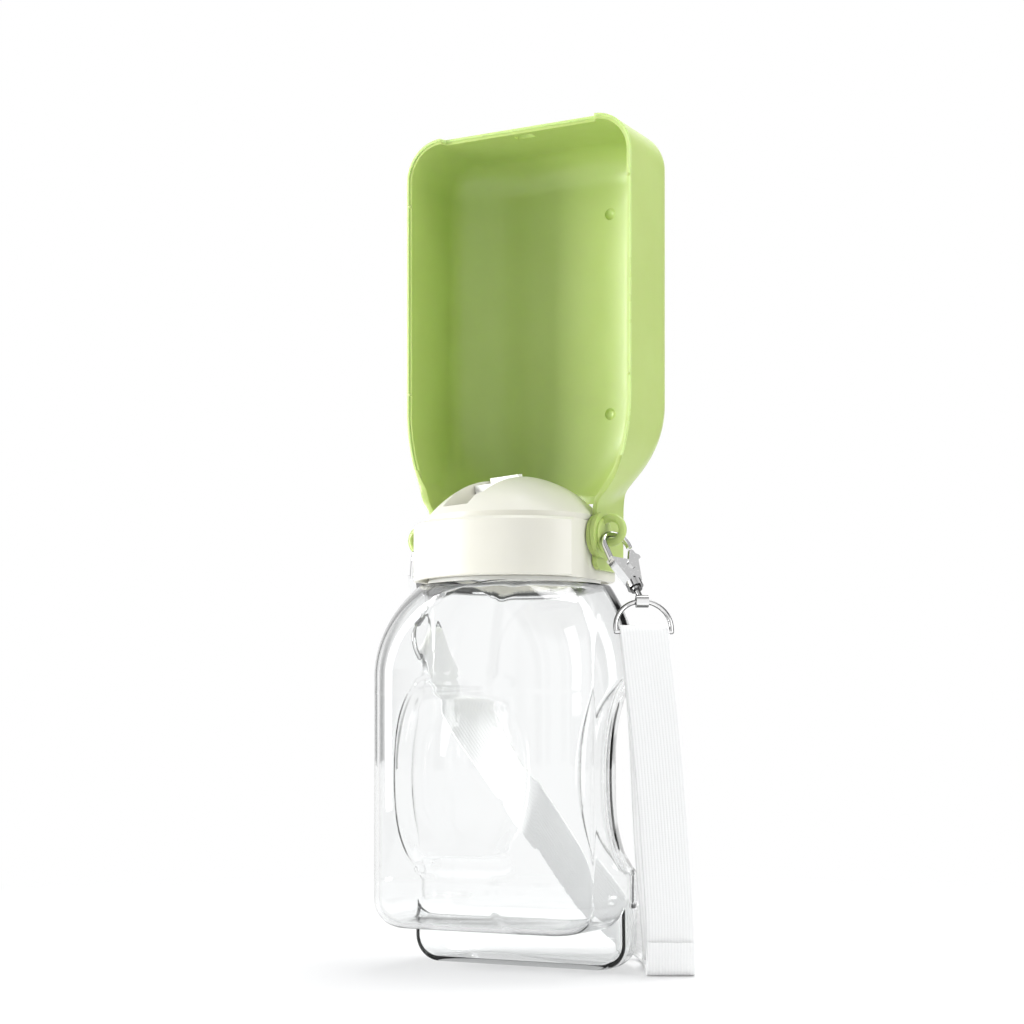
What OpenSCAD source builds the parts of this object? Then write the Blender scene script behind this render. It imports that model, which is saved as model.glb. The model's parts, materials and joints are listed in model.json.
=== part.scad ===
// Dog travel water bottle with a fold-over drinking trough and a clip-on strap.
// Millimetres, +Z up, floor at z = 0. X runs along the trough's hinge, -Y is
// the front. The origin is the centre of the flat under the bottle's foot.

/* [Bottle] */
// Width of the bottle over its two sides
bottle_w = 101.4; // [98:0.2:104]
// Distance from the cap's axis to the front face
bottle_front = 44; // [43:0.5:46]
// Distance from the cap's axis to the back face
bottle_back = 36; // [34:0.5:38]
// Height of the flat shoulder plate under the cap
plate_z = 161; // [158:0.5:164]
// Wall thickness of the bottle
bottle_wall = 2; // [1.6:0.1:2.4]
// Height of the front section's underside above the floor
belly_z = 17; // [14:0.5:22]
// Lowest and highest point of the hand grips
grip_z = [40, 122]; // [30:0.5:130]
// Radius of the grips' hollow round the back corners
grip_r = 44; // [42:0.5:46]

/* [Cap] */
// Outer radius of the collar
collar_r = 42.8; // [42:0.1:43.4]
// Lower and upper face of the collar
collar_z = [163, 187]; // [160:0.5:190]
// Radius of the domed lid at its rim
dome_r = 37.3; // [36.5:0.1:37.4]
// Height of the domed lid's top above the floor
dome_top = 208; // [206:0.5:210]
// Direction of the lid's channel, seen from above
channel_turn = -110; // [-130:5:-90]
// Travel of the flow slider
slider_travel = 9; // [6:0.5:9]

/* [Trough] */
// Height of the hinge axis above the floor
hinge_z = 181; // [180:0.5:182]
// Width of the trough over its side walls
trough_w = 108; // [107:0.5:108.5]
// Depth from the rim's plane to the back of the trough
trough_depth = 50.5; // [48:0.5:51]
// Wall thickness of the trough
trough_wall = 2.2; // [2:0.1:2.4]
// Width of each hinge arm, front to back
arm_w = 26.5; // [24:0.5:27]

/* [Strap and clasps] */
// Width of the webbing
strap_w = 20; // [18:0.5:20]
// Thickness of the webbing
strap_t = 1.4; // [1.2:0.1:1.6]
// Radius of the hook's wire
hook_wire = 1.25; // [1:0.05:1.3]
// Lean of the right and the left clasp away from the vertical
clasp_lean = [33, 24]; // [20:1:40]

/* [Hidden] */

$fn = 64;
eps = 0.01;                      // how far a cut runs past a face

// --- the bottle's form ---
half_w = bottle_w / 2;
front_r = 18;                    // plan radius of the front corners
back_r = 28;                     // plan radius of the back corners
plate_r = 40.5;                  // radius of the shoulder plate
shoulder_r = 55;                 // radius of the shoulder's curve, side on
shoulder_arc = 45;               // the shoulder's curve stops at this slope
shoulder_z = plate_z - shoulder_r * sin(shoulder_arc);
belly_edge = 12;                 // radius of the belly's lower edge
foot_edge = 11;                  // radius of the foot's lower edge
foot_front = 1;                  // the foot's front face, behind the cap's axis
foot_corner = 3;                 // plan radius of the foot's front corners
cap_offset = (foot_front + bottle_back - foot_edge) / 2;  // the foot's centre, behind the cap's axis
foot_top = belly_z + 30;
neck_r = 33;
neck_bore = 30;
neck_z = 176;
arc_n = 8;                       // steps along each plan corner
edge_steps = [90 : -15 : 0];
arc_steps = [0 : 7.5 : shoulder_arc];

function lerp(a, b, t) = a + (b - a) * t;
function shoulder_share(a) = (1 - cos(a)) / (1 - cos(shoulder_arc));

// A plan is four corners [x, y, radius along x, radius along y]: back right, back left,
// front left, front right. rf holds the front corners' two radii.
function plan(w, back, rb, front, rf) =
    [[w - rb, back - rb, rb, rb], [rb - w, back - rb, rb, rb],
     [rf.x - w, rf.y - front, rf.x, rf.y], [w - rf.x, rf.y - front, rf.x, rf.y]];
function grown(p, g) = [for (c = p) [c[0], c[1], c[2] + g, c[3] + g]];
function drawn_in(p, k, r) =
    [for (c = p) [c[0] * (1 - k), c[1] * (1 - k), lerp(c[2], r, k), lerp(c[3], r, k)]];
function outline(p) = [for (q = [0 : 3], i = [0 : arc_n])
    let (a = 90 * (q + i / arc_n)) [p[q][0] + p[q][2] * cos(a), p[q][1] + p[q][3] * sin(a)]];

// A closed solid through plans at rising heights, each level [z, plan].
module loft(levels) { skin([for (v = levels) [v[0], outline(v[1])]]); }
// The same through outlines of equal length, each level [z, points].
module skin(levels) {
    n = len(levels[0][1]);
    top = len(levels) - 1;
    points = [for (v = levels, p = v[1]) [p.x, p.y, v[0]]];
    sides = [for (j = [0 : top - 1], i = [0 : n - 1], h = [0, 1])
        let (a = j * n + i, b = j * n + (i + 1) % n) h == 0 ? [a, a + n, b + n] : [a, b + n, b]];
    polyhedron(points = points, convexity = 4,
               faces = concat([[for (i = [0 : n - 1]) i]], sides,
                              [[for (i = [n - 1 : -1 : 0]) top * n + i]]));
}

// Levels that round a lower edge of radius e at height z, grown by g.
function edge_levels(p, z, e, g) =
    [for (a = edge_steps) [z + e - (e + g) * sin(a), grown(p, (e + g) * cos(a) - e)]];
// Levels that draw a plan in to the shoulder plate, r being the plate's radius.
function shoulder_levels(p, r, rise, g) =
    [for (a = arc_steps)
        [shoulder_z + (rise + g) * sin(a), grown(drawn_in(p, shoulder_share(a), r), g * cos(a))]];

belly_plan = plan(half_w, bottle_back, back_r, bottle_front, [front_r, front_r]);

// Everything below is drawn about the cap's axis and moved here.
module at_cap() { translate([0, -cap_offset, 0]) children(); }
module mirror_x(side) { if (side > 0) children(); else mirror([1, 0, 0]) children(); }
module cylinder_between(r, z0, z1) { translate([0, 0, z0]) cylinder(r = r, h = z1 - z0); }
module ring(r_out, r_in, z0, z1) {
    difference() {
        cylinder_between(r_out, z0, z1);
        cylinder_between(r_in, z0 - eps, z1 + eps);
    }
}

// The bottle's body without its foot, grown by g.
module belly_form(g) {
    loft(concat(edge_levels(belly_plan, belly_z, belly_edge, g),
                shoulder_levels(belly_plan, plate_r, shoulder_r, g)));
}

// The foot under the back half, grown by g: its sides curve in towards the floor.
module foot_form(g) {
    function foot_plan(a) =
        let (out = (foot_edge + g) * cos(a) - foot_edge,
             w = half_w + out - 0.2,
             b = grown(belly_plan, out),
             r = foot_corner + g / 2)
        [b[0], b[1], [r - w, foot_front + foot_corner, r, r], [w - r, foot_front + foot_corner, r, r]];
    loft(concat([for (a = edge_steps) [foot_edge - (foot_edge + g) * sin(a), foot_plan(a)]],
                [[foot_top, foot_plan(0)]]));
}

// What a hand grip takes away from one side and its back corner, grown by g. Its edge runs
// from a point on the back face to a point on the side face; between them the surface
// is drawn towards a round hollow, most of all at mid height.
grip_centre = [4, -10.5];        // axis of the hollow
grip_back = [13.8, 26];          // the edge on the back face: nearest x, and how far it curves away
grip_front = [-15.5, 26];        // the edge on the side face: nearest y, and how far it curves away
grip_ramp = 9;                   // width of the slope inside the edge
grip_levels = [-1, -0.96, -0.88, -0.78, -0.64, -0.44, -0.22, 0, 0.22, 0.44, 0.64, 0.78, 0.88, 0.96, 1];
grip_n = 24;                     // steps from the back edge to the side edge

function ease(t) = let (c = min(1, max(0, t))) c * c * (3 - 2 * c);
function grip_edge(e, t) = e[0] + e[1] * (1 - sqrt(max(0, 1 - t * t)));
// The outer face is measured by s: along the back, round the corner, along the side.
face_xc = half_w - back_r;
face_yc = bottle_back - back_r;
face_arc = PI * back_r / 180;    // length of one degree of the corner
function face_point(s) =
    let (a = 90 - (s - face_xc) / face_arc)
    s < face_xc ? [s, bottle_back] :
    a > 0 ? [face_xc + back_r * cos(a), face_yc + back_r * sin(a)] :
    [half_w, face_yc + a * face_arc];
function back_s(x) = x < face_xc ? x : face_xc + face_arc * (90 - acos((x - face_xc) / back_r));
function side_s(y) = face_xc + face_arc * 90
    + (y < face_yc ? face_yc - y : -face_arc * asin((y - face_yc) / back_r));
// Points from the back edge to the side edge at level t, each [x, y, distance from an edge].
function grip_path(t) =
    let (s0 = back_s(grip_edge(grip_back, t)), s1 = side_s(grip_edge(grip_front, t)))
    [for (i = [0 : grip_n]) let (s = lerp(s0, s1, i / grip_n), p = face_point(s))
        [p.x, p.y, min(s - s0, s1 - s)]];
function grip_line(t, g) =
    [for (p = grip_path(t))
        let (v = [p.x, p.y] - grip_centre, deep = (1 - pow(abs(t), 3)) * ease(p.z / grip_ramp))
        grip_centre + unit(v) * (norm(v) + 0.02 + g - deep * max(0, norm(v) - grip_r))];
module grip_cut(g) {
    h = (grip_z[1] - grip_z[0]) / 2;
    skin([for (t = grip_levels) let (line = grip_line(t, g))
        [grip_z[0] + h * (1 + t), concat(line,
            [[90, line[grip_n].y], [90, 70], [line[0].x, 70]])]]);
}

module bottle_form(g) {
    difference() {
        union() {
            belly_form(g);
            foot_form(g);
        }
        for (s = [-1, 1]) mirror_x(s) grip_cut(g);
    }
}

module bottle_body() {
    color([0.92, 0.95, 0.96, 0.35]) at_cap() {
        difference() {
            union() {
                bottle_form(0);
                cylinder_between(neck_r, plate_z - 1, neck_z);
                // bead that the collar grips
                cylinder_between(neck_r + 0.3, neck_z - 6, neck_z - 4);
            }
            bottle_form(-bottle_wall);
            cylinder_between(neck_bore, plate_z - 4, neck_z + eps);
        }
    }
}
module neck_gasket() { color("WhiteSmoke") at_cap() ring(36.8, neck_r, plate_z, collar_z[0]); }

// --- the hinge ---
arm_in = 37.7;                   // inner face of each arm
arm_t = 2.2;
arm_gap = 0.3;
pin_r = 2;
pin_fit = 0.05;
knob_x = arm_in + arm_t + arm_gap;
flange_r = 9.4;
flange_t = 1.8;
boss_r = 7;
boss_end = 42.6;
eye_x = 45.6;                    // centre of the eyelet
eye_z = 183;
eye_r = 5.1;
eye_section = 1.7;
pin_in = 34.6;
pin_end = 41.8;

module on_hinge(x) { translate([x, 0, hinge_z]) rotate([0, 90, 0]) children(); }

module collar_ring() {
    color([0.96, 0.95, 0.92]) at_cap() difference() {
        union() {
            // the collar's outer wall with softly broken edges
            translate([0, 0, collar_z[0]]) rotate_extrude($fn = 96)
                polygon([[34.2, 0], [42.2, 0], [collar_r, 0.6],
                         [collar_r, collar_z[1] - collar_z[0] - 1.2],
                         [collar_r - 1.2, collar_z[1] - collar_z[0]],
                         [34.2, collar_z[1] - collar_z[0]]]);
            // the inner web that snaps over the neck's bead
            ring(34.4, neck_r + 0.45, collar_z[0], collar_z[0] + 9);
        }
        // hollow between the outer wall and the wall that carries the lid
        intersection() {
            ring(collar_r - 2, 36.4, collar_z[0] - eps, collar_z[1] - 2.4);
            cube([2 * (pin_in + 0.2), 200, 500], center = true);
        }
        // pockets that the trough's arms turn in
        for (s = [-1, 1]) mirror_x(s) {
            translate([arm_in - arm_gap, -26, collar_z[0] - eps]) cube([20, 52, 60]);
            on_hinge(pin_in - 2) cylinder(r = pin_r, h = 8);
        }
    }
}

module hinge_pin(side) {
    color("Silver") at_cap() mirror_x(side) on_hinge(pin_in) {
        cylinder(r = pin_r, h = pin_end - pin_in);
    }
}

module knob(side) {
    color([0.60, 0.75, 0.36]) at_cap() mirror_x(side) difference() {
        union() {
            on_hinge(knob_x) cylinder(r = flange_r, h = flange_t);
            on_hinge(knob_x) cylinder(r = boss_r, h = boss_end - knob_x);
            on_hinge(boss_end - eps) cylinder(r1 = boss_r, r2 = boss_r - 1, h = 0.45);
            // the eyelet that the clasp hooks into
            intersection() {
                translate([eye_x, 0, eye_z]) rotate([90, 0, 0]) rotate_extrude()
                    translate([eye_r, 0]) circle(r = eye_section, $fn = 32);
                translate([knob_x, -20, 160]) cube([30, 40, 40]);
            }
        }
        on_hinge(knob_x - eps) cylinder(r = pin_r, h = pin_end - knob_x);
    }
}

// --- the trough, drawn folded down over the bottle's front and then turned up ---
rim_y = 1.5;                     // the rim's plane, in front of the hinge when folded
tray_half = trough_w / 2;
tray_front = trough_depth + rim_y;
tray_end = hinge_z - 176.5;      // lowest face when folded
tray_side_r = [36, 18];          // plan radii of the outer corners, along x and along y
tray_end_r = 17;                 // radius between the end wall and the sides
tray_mouth_r = 43.7;             // the collar stands in this opening
tray_rise = 2.8;                 // the tray's shoulder stands this far off the bottle's
tray_plan = plan(tray_half, 30, 20, tray_front, tray_side_r);
arm_low = hinge_z - 14;          // lower end of the arm's tab, trough up
arm_front = -2.5;
web_z = 2 * hinge_z - plate_z - 0.4;  // underside of the web between arm and tray
dimple_up = [328.8, 240.3];      // heights of the dimples in the back wall, trough up
dimple_x = 21.5;
nub_up = [330, 247.5];             // heights of the nubs on each side's rim, trough up

// The tray's outer form grown by g.
module tray_form(g) {
    loft(concat(edge_levels(tray_plan, tray_end, tray_end_r, g),
                shoulder_levels(tray_plan, plate_r + tray_rise, shoulder_r + tray_rise, g)));
}

module trough_up() {
    translate([0, 0, hinge_z]) rotate([180, 0, 0]) translate([0, 0, -hinge_z]) children();
}

module tray() {
    trough_up() difference() {
        tray_form(0);
        tray_form(-trough_wall);
        translate([-80, -rim_y, -10]) cube([160, 60, 220]);
        cylinder_between(tray_mouth_r, plate_z - 40, plate_z + 10);
    }
}

// One hinge arm: a flat tab by the hinge that flares out into the tray's shoulder.
module trough_arm() {
    top = web_z + 8;
    intersection() {
        translate([0, arm_front + arm_w, 0]) rotate([90, 0, 0]) linear_extrude(arm_w)
            polygon([[arm_in, arm_low], [arm_in + arm_t, arm_low], [arm_in + arm_t, web_z - 5],
                     [arm_in + arm_t + 1, web_z - 2], [arm_in + arm_t + 3.6, web_z + 1.2],
                     [arm_in + 8.3, web_z + 4.6], [arm_in + 11.2, top], [arm_in + 8.6, top],
                     [arm_in + 3, web_z], [arm_in, web_z]]);
        translate([-5, 0, 0]) rotate([90, 0, 90]) linear_extrude(80) arm_outline();
    }
}
// The arm seen along X, trough up: y to the right, z up.
module arm_outline() {
    translate([0, hinge_z]) circle(r = 8.6);
    translate([arm_front, arm_low + 4]) square([arm_w, 60]);
    translate([arm_front + 4, arm_low]) square([arm_w - 8, 10]);
    for (y = [arm_front + 4, arm_front + arm_w - 4]) translate([y, arm_low + 4]) circle(r = 4);
}

module trough() {
    color([0.60, 0.75, 0.36]) at_cap() difference() {
        union() {
            tray();
            for (s = [-1, 1]) mirror_x(s) trough_arm();
            for (s = [-1, 1], z = nub_up)
                translate([s * (tray_half - trough_wall / 2), rim_y + 0.5, z]) rotate([90, 0, 0])
                    cylinder(r = 0.8, h = 1, $fn = 16);
        }
        for (s = [-1, 1]) mirror_x(s)
            on_hinge(arm_in - 5) cylinder(r = pin_r + pin_fit, h = 20);
        // the slot in the end wall, and its rim drawn back between the corners
        translate([-4, 7.5, 2 * hinge_z - tray_end - 5]) cube([8, 4, 10]);
        translate([tray_end_r - tray_half, -4, 2 * hinge_z - tray_end - 8])
            cube([2 * (tray_half - tray_end_r), 4 + rim_y + 3, 20]);
        for (z = dimple_up)
            translate([dimple_x, tray_front - trough_wall - 2.3, z]) sphere(r = 3.4, $fn = 32);
    }
}

// --- the lid ---
dome_base = collar_z[1] + 0.3;
dome_rim = 2.4;                  // height of the rim's upright face
dome_wall = 2.2;
lid_floor = 1.6;                 // web between the dome's rim and its skirt
dome_rise = dome_top - dome_base - dome_rim;
dome_sphere = (dome_r * dome_r + dome_rise * dome_rise) / (2 * dome_rise);
skirt_r = 33.9;
skirt_z = 177.6;
slope = 9;                       // fall of the channel's floor
channel_w = 20;
channel_in = -6;
outlet_at = -1;                  // centre of the drinking hole along the channel
ledge = 2;
plate_t = 3.3;                   // thickness of the slider's plate
slider_in = -5;
slider_out = 13.5;
rail_z = dome_top - 5.4;         // height of the ledges at the lid's centre

module dome_form(g) {
    intersection() {
        translate([0, 0, dome_top - dome_sphere]) sphere(r = dome_sphere + g, $fn = 96);
        cylinder_between(dome_r + g, dome_base + (g < 0 ? lid_floor : 0), dome_top + 10);
    }
}

// The channel's own frame: x outwards and down the slope, z square to its floor.
module in_channel() {
    rotate([0, 0, channel_turn]) translate([0, 0, rail_z]) rotate([0, slope, 0]) children();
}

module channel(g) {
    in_channel() {
        translate([channel_in - g, -channel_w / 2 - g, -g]) cube([60, channel_w + 2 * g, 20]);
        translate([channel_in - g, ledge - channel_w / 2 - g, -4 - g])
            cube([60, channel_w - 2 * ledge + 2 * g, 20]);
    }
}

module dome_lid() {
    color([0.96, 0.95, 0.92]) at_cap() difference() {
        union() {
            dome_form(0);
            cylinder_between(skirt_r, skirt_z, dome_base + 1);
        }
        difference() {
            union() {
                dome_form(-dome_wall);
                cylinder_between(skirt_r - 2, skirt_z - eps, dome_base + lid_floor + 1);
            }
            channel(2);
        }
        channel(0);
        in_channel() translate([outlet_at, 0, -12]) cylinder(r = 3, h = 12);
    }
}

module lid_liner() {
    color("White") at_cap() difference() {
        union() {
            cylinder_between(skirt_r - 2.05, 180, 182);
            cylinder_between(6, 182, 186);
        }
        cylinder_between(4, 179, 190);
    }
}

module outlet_valve() {
    color("Gainsboro") at_cap() difference() {
        union() {
            cylinder_between(3.95, 180, 186.5);
            cylinder_between(5.5, 178.4, 180);
        }
        cylinder_between(1.5, 178, 187);
    }
}

module lid_gasket() { color("Gainsboro") at_cap() ring(32.9, 29.6, neck_z + 0.1, skirt_z - 0.1); }

module flow_slider() {
    w = channel_w - 0.6;
    color("White") at_cap() in_channel() {
        translate([slider_in, -w / 2, 0.05]) cube([slider_out - slider_in, w, plate_t]);
        // the thumb rib across the plate
        translate([2.6, -w / 2 + 1, plate_t - 0.1]) cube([2.6, w - 2, 2.7]);
        // stopper that covers the drinking hole
        translate([slider_in + 0.5, -4, -3.9]) cube([7.5, 8, 4]);
    }
}

// --- the clasps: each is drawn hanging straight down from its wire's top ---
// Every pair holds the right side's value and the left side's.
hang_r = 6.2;                    // radius of the hook's bend, at the wire's middle
clasp_head = [-23.6, 130];       // direction of the lean from +X
hook_twist = [86.6, -40];        // turn of the hook about its own axis
ring_turn = [[-20, 0, 34], [-5.7, -36.9, 90]];  // how each D-ring hangs
hang_z = eye_z - eye_r + eye_section + hook_wire + 0.5;
cheek_t = 4;                     // thickness of the clasp's body
gate_slot = 2;
gate_t = 1.4;
rivet_r = 1.1;
rivet_at = [1.6, -17];
body_end = -25;
post_r = 1.2;
eye_drop = 34.5;                 // from the hook's top to the swivel's eye
ring_arch = 11.4;                // radius of the D-ring's arch, at the wire's middle
ring_leg = 2;                    // height of the D-ring's straight legs
ring_wire = 1;

function which(side) = side > 0 ? 0 : 1;
function turn_z(v, c) = [v.x * cos(c) - v.y * sin(c), v.x * sin(c) + v.y * cos(c), v.z];
function clasp_axis(i) = turn_z([sin(clasp_lean[i]), 0, -cos(clasp_lean[i])], clasp_head[i]);
function hang_at(i) = [(i == 0 ? 1 : -1) * eye_x, 0, hang_z];
function ring_at(i) = hang_at(i) + eye_drop * clasp_axis(i);
// Directions of a D-ring: along its bar, and from its arch down to the bar.
function bar_dir(i) = let (r = ring_turn[i]) turn_z([cos(r.y), 0, -sin(r.y)], r.z);
function ring_dir(i) = let (r = ring_turn[i])
    turn_z([-cos(r.x) * sin(r.y), sin(r.x), -cos(r.x) * cos(r.y)], r.z);
function bar_at(i) = ring_at(i) + (ring_arch + ring_leg) * ring_dir(i);

module hang(side) {
    i = which(side);
    translate(hang_at(i)) rotate([0, 0, clasp_head[i]]) rotate([0, -clasp_lean[i], 0])
        rotate([0, 0, hook_twist[i]]) children();
}
module hang_ring(side) { translate(ring_at(which(side))) rotate(ring_turn[which(side)]) children(); }
// A flat outline in the hook's own plane, t thick.
module plate(t) { translate([0, t / 2, 0]) rotate([90, 0, 0]) linear_extrude(t) children(); }

module hook(side) {
    color("Silver") at_cap() hang(side) difference() {
        union() {
            // the bend, from the spine over the top to the nose
            translate([0, 0, -hang_r]) rotate([90, 0, 0])
                rotate_extrude(angle = 192, start = -12)
                translate([hang_r, 0]) circle(r = hook_wire, $fn = 24);
            // the spine
            translate([-hang_r, 0, -14]) cylinder(r = hook_wire, h = 14 - hang_r + eps, $fn = 24);
            // the tapered body
            plate(cheek_t) polygon([[-7.4, -13], [-5, -13.4], [-1.5, -14], [3, -14.6], [6.9, -12.4],
                                    [3.2, body_end], [-3.2, body_end]]);
            translate([0, 0, body_end - 2.6]) cylinder(r = 3.4, h = 3);
        }
        // slot that the gate turns in
        plate(gate_slot) polygon([[-1.5, -21.5], [-1.5, -10], [12, -10], [12, -16], [4.6, -21.5]]);
        translate([rivet_at.x, 0, rivet_at.y]) rotate([90, 0, 0])
            cylinder(r = rivet_r, h = 20, center = true);
        // seat of the swivel's post and its head
        translate([0, 0, body_end - 4]) cylinder(r = post_r + 0.05, h = 6);
        translate([0, 0, body_end - 0.2]) cylinder(r = 2.1, h = 2.2);
    }
}

module gate(side) {
    color("Silver") at_cap() hang(side) difference() {
        // lever with its thumb nib, and the tail that the spring pushes on
        plate(gate_t) polygon([[-0.4, -16.6], [0.2, -15.3], [1.8, -14.8], [5.2, -8.4], [7, -8.5],
                               [7.6, -10.2], [9.2, -10.9], [9.4, -12.2], [6.6, -13.4], [5.4, -16.4],
                               [3.7, -18.2], [2.4, -19], [-0.8, -18.9]]);
        translate([rivet_at.x, 0, rivet_at.y]) rotate([90, 0, 0])
            cylinder(r = rivet_r + 0.05, h = 20, center = true);
    }
}

module gate_spring(side) {
    color("DimGray") at_cap() hang(side) translate([0.1, 0, -21.25]) coil(0.6, 0.2, 0.5, 3.5);
}

// A coil spring of radius r, rising by pitch in each turn.
module coil(r, wire, pitch, turns) {
    sides = 6;
    n = floor(turns * 14);
    points = [for (i = [0 : n], k = [0 : sides - 1])
        let (a = 360 * turns * i / n, b = 360 * k / sides, out = r + wire * cos(b))
        [out * cos(a), out * sin(a), wire + pitch * turns * i / n + wire * sin(b)]];
    polyhedron(points = points, convexity = 8,
        faces = concat([[for (k = [sides - 1 : -1 : 0]) k]],
            [for (i = [0 : n - 1], k = [0 : sides - 1])
                [i * sides + k, i * sides + (k + 1) % sides,
                 (i + 1) * sides + (k + 1) % sides, (i + 1) * sides + k]],
            [[for (k = [0 : sides - 1]) n * sides + k]]));
}

module rivet(side) {
    color("Gainsboro") at_cap() hang(side)
        translate([rivet_at.x, 0, rivet_at.y]) rotate([90, 0, 0]) {
            cylinder(r = rivet_r, h = cheek_t, center = true);
            for (s = [-1, 1]) translate([0, 0, s * (cheek_t / 2 + 0.3)])
                cylinder(r = 1.9, h = 0.6, center = true);
        }
}

module swivel(side) {
    color("Silver") at_cap() difference() {
        union() {
            hang(side) {
                cylinder_between(post_r, 1.8 - eye_drop, body_end + 1.4);
                cylinder_between(2, body_end, body_end + 1.6);
                cylinder_between(2.4, body_end - 3.9, body_end - 2.9);
            }
            // the eye that carries the D-ring
            hang_ring(side) rotate([0, 90, 0]) cylinder(r = 2.6, h = 5, center = true);
        }
        hang_ring(side) rotate([0, 90, 0]) cylinder(r = 1.4, h = 8, center = true);
    }
}

module d_ring(side) {
    color("Silver") at_cap() hang_ring(side) translate([0, 0, -ring_arch]) {
        rotate([90, 0, 0]) rotate_extrude(angle = 180)
            translate([ring_arch, 0]) circle(r = ring_wire, $fn = 24);
        for (s = [-1, 1]) translate([s * ring_arch, 0, -ring_leg])
            cylinder(r = ring_wire, h = ring_leg + eps, $fn = 24);
        translate([0, 0, -ring_leg]) rotate([0, 90, 0])
            cylinder(r = ring_wire, h = 2 * ring_arch, center = true, $fn = 24);
        for (s = [-1, 1]) translate([s * ring_arch, 0, -ring_leg]) sphere(r = ring_wire, $fn = 24);
    }
}

// --- the strap: one band of webbing whose ends are sewn back round the D-rings ---
// A stop is [x, y, z, direction of the band's width], about the cap's axis.
across = [0.883, 0.469, 0];      // width of the hanging run, turned to the front right
rising = [0.75, 0.02, 0.66];     // width of the run that climbs the bottle's back
lie_z = strap_t / 2 + 0.2;
main_route = [
    [75.2, -6.2, 14, across], [75.1, -6.1, 8, across], [74.9, -5.6, 2.4, across],
    [73, -2, lie_z, across], [67, 10, lie_z, across], [60, 24, lie_z, across],
    [54, 36, lie_z + 0.3, across], [49, 43, 4, [0.84, 0.44, 0.22]], [43, 47, 8.4, [0.8, 0.3, 0.48]],
    [36, 47.5, 12.5, [0.76, 0.14, 0.6]], [27, 46, 19, rising],
    [10, 42.5, 38, rising], [-5, 40.5, 56, rising],
    [-20, 40, 74, rising], [-33, 40, 91, [0.76, 0.16, 0.63]],
    [-44, 38, 106, [0.55, 0.55, 0.62]]];
front_run = [[74.1, -4.4, 2.8, across], [73.9, -5.2, 30, across], [70.5, -8.6, 90, across]];
back_run = [[64.2, -0.6, 105, across], [61, 12.5, 55, across], [57.8, 27.5, 12, across],
            [55, 34, lie_z + strap_t + 0.4, across]];
sewn = 22;                       // length of the left end's sewn-back piece

function bend(p, i, t) =         // a smooth curve through the stops
    let (n = len(p) - 1, a = p[max(i - 1, 0)], b = p[i], c = p[i + 1], d = p[min(i + 2, n)])
    0.5 * (2 * b + (c - a) * t + (2 * a - 5 * b + 4 * c - d) * t * t
           + (3 * b - a - 3 * c + d) * t * t * t);
// The stops with points between them, each [middle, direction of the width].
function smooth(stops, steps) =
    let (mid = [for (s = stops) [s[0], s[1], s[2]]], wide = [for (s = stops) s[3]], n = len(stops))
    concat([for (i = [0 : n - 2], j = [0 : steps - 1]) [bend(mid, i, j / steps), bend(wide, i, j / steps)]],
           [[mid[n - 1], wide[n - 1]]]);
function unit(v) = v / norm(v);

// A flat band swept along such points, w wide and t thick.
module ribbon(line, w, t) {
    n = len(line);
    points = [for (i = [0 : n - 1])
        let (along = unit(line[min(i + 1, n - 1)][0] - line[max(i - 1, 0)][0]),
             u = unit(line[i][1] - along * (line[i][1] * along)),
             v = cross(along, u))
        for (k = [[-1, -1], [1, -1], [1, 1], [-1, 1]]) line[i][0] + u * k[0] * w / 2 + v * k[1] * t / 2];
    polyhedron(points = points, convexity = 8,
        faces = concat([[0, 1, 2, 3]],
            [for (i = [0 : n - 2], k = [0 : 3], h = [0, 1])
                let (a = i * 4 + k, b = i * 4 + (k + 1) % 4) h == 0 ? [a, a + 4, b + 4] : [a, b + 4, b]],
            [[4 * n - 1, 4 * n - 2, 4 * n - 3, 4 * n - 4]]));
}

wrap_r = ring_wire + 0.25 + strap_t / 2;
function stop(v, width) = [v.x, v.y, v.z, width];
// Half a turn of webbing over side i's bar: down is the way the band hangs.
function wrap(i, down) = let (u = bar_dir(i), out = unit(cross(down, u)))
    [for (a = [0 : 15 : 180]) [bar_at(i) + wrap_r * (out * cos(a) - down * sin(a)), u]];
function stop_at(p) = stop(p[0], p[1]);
// A band that comes up one run, goes over the bar and leaves along the other.
function looped(up, turn, away) =
    concat([for (p = smooth(concat(up, [stop_at(turn[0])]), 3)) p],
           [for (i = [1 : len(turn) - 2]) turn[i]],
           [for (p = smooth(concat([stop_at(turn[len(turn) - 1])], away), 3)) p]);
// The left end's two layers run down from the bar and close up where they are sewn.
left_down = ring_dir(1);
left_out = unit(cross(left_down, bar_dir(1)));
function layer(side, d) =
    stop(bar_at(1) + left_down * d + side * left_out * (d < 6 ? 1.5 : 0.8), bar_dir(1));

module strap() {
    color("White") at_cap() ribbon(smooth(concat(main_route,
        [for (d = [9, 4, 0.6]) layer(-1, sewn + d)]), 4), strap_w, strap_t);
}

module strap_end_right() {
    down = unit([front_run[2][0], front_run[2][1], front_run[2][2]] - bar_at(0));
    color("White") at_cap() ribbon(looped(front_run, wrap(0, down), back_run), strap_w, strap_t);
}

module strap_end_left() {
    color("White") at_cap() ribbon(looped([for (d = [sewn, sewn / 2, 5]) layer(1, d)], wrap(1, left_down),
        [for (d = [5, sewn / 2, sewn]) layer(-1, d)]), strap_w, strap_t);
}

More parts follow.
